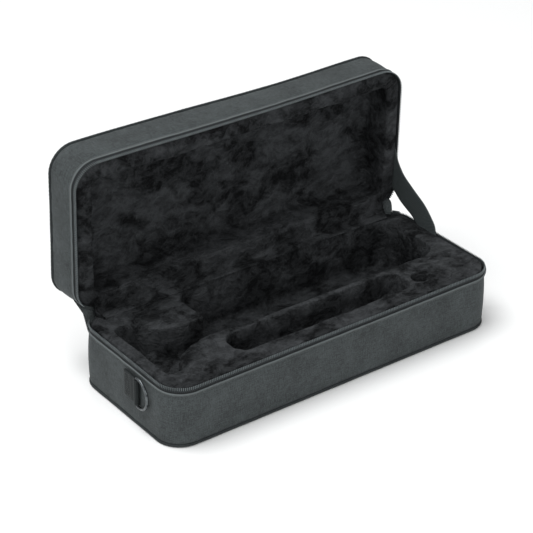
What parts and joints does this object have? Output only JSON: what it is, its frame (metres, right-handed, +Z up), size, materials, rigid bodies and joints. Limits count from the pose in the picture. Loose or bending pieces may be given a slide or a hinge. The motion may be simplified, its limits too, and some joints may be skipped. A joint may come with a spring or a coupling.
{
  "type": "trumpet case",
  "caption": "Soft rectangular trumpet case shown open: foam halves in grey cloth, plush wells, webbing stay strap, zipper with a slider, D-rings and a padded carry handle.",
  "frame": {"origin": "centre of the base's flat underside, on the surface it stands on", "axes": "+X along the case's length towards the end with the stay strap, +Y from the front to the hinge at the back, +Z up; the open lid stands behind the base"},
  "size_m": [0.5738, 0.3088, 0.3213],
  "materials": {
    "nylon_cloth": "dark grey woven nylon, dull with a faint sheen",
    "piping_cord": "cloth-covered cord, dull",
    "rigid_foam": "expanded bead foam, dull",
    "zipper_tape": "woven polyester tape",
    "zipper_coil": "moulded nylon coil, slightly glossy",
    "plush": "short black plush with a soft, uneven nap",
    "webbing": "ribbed woven webbing",
    "handle_wrap": "padded cloth wrap",
    "ring_wire": "dark nickel-coated wire, satin",
    "slider_metal": "dark enamelled zinc, satin"
  },
  "bodies": {
    "base": {"base_bottom_panel": "nylon_cloth", "base_foam_shell": "rigid_foam", "base_wall_cover": "nylon_cloth", "base_piping": "piping_cord", "base_zipper_tape": "zipper_tape", "base_zipper_coil": "zipper_coil", "base_foam_insert": "rigid_foam", "base_plush_lining": "plush", "ring_tab_left": "webbing", "ring_tab_right": "webbing", "zipper_end_left": "nylon_cloth", "zipper_end_right": "nylon_cloth", "strap_anchor_base": "webbing", "hinge_cloth": "nylon_cloth", "hinge_plush": "plush", "stay_strap": "webbing"},
    "lid": {"lid_top_panel": "nylon_cloth", "lid_foam_shell": "rigid_foam", "lid_wall_cover": "nylon_cloth", "lid_piping": "piping_cord", "lid_zipper_tape": "zipper_tape", "lid_zipper_coil": "zipper_coil", "lid_foam_frame": "rigid_foam", "lid_plush_lining": "plush", "strap_anchor_lid": "webbing", "handle_patch_left": "nylon_cloth", "handle_patch_right": "nylon_cloth", "handle_webbing": "webbing", "handle_grip": "handle_wrap"},
    "ring_left": {"d_ring_left": "ring_wire"},
    "ring_right": {"d_ring_right": "ring_wire"},
    "slider": {"zipper_slider": "slider_metal"},
    "pull": {"zipper_pull": "slider_metal"}
  },
  "joints": [
    {"name": "lid_hinge", "type": "hinge", "parent": "base", "child": "lid", "pos_m": [0, 0.111, 0.0962], "axis": [1, 0, 0], "range_deg": [0, 88], "deforming": ["hinge_cloth", "hinge_plush", "stay_strap"]},
    {"name": "ring_left_swing", "type": "hinge", "parent": "base", "child": "ring_left", "pos_m": [-0.27385, -0.037, 0.056], "axis": [0, 0, -1], "range_deg": [-1, 136]},
    {"name": "ring_right_swing", "type": "hinge", "parent": "base", "child": "ring_right", "pos_m": [0.27385, -0.05, 0.056], "axis": [0, 0, 1], "range_deg": [-52, 85]},
    {"name": "slider_run", "type": "slide", "parent": "base", "child": "slider", "axis": [0, -1, 0], "range_m": [-0.022, 0.108]},
    {"name": "pull_swing", "type": "hinge", "parent": "slider", "child": "pull", "pos_m": [0.2752, 0.044, 0.0915], "axis": [0, 0, -1], "range_deg": [0, 175]}
  ]
}
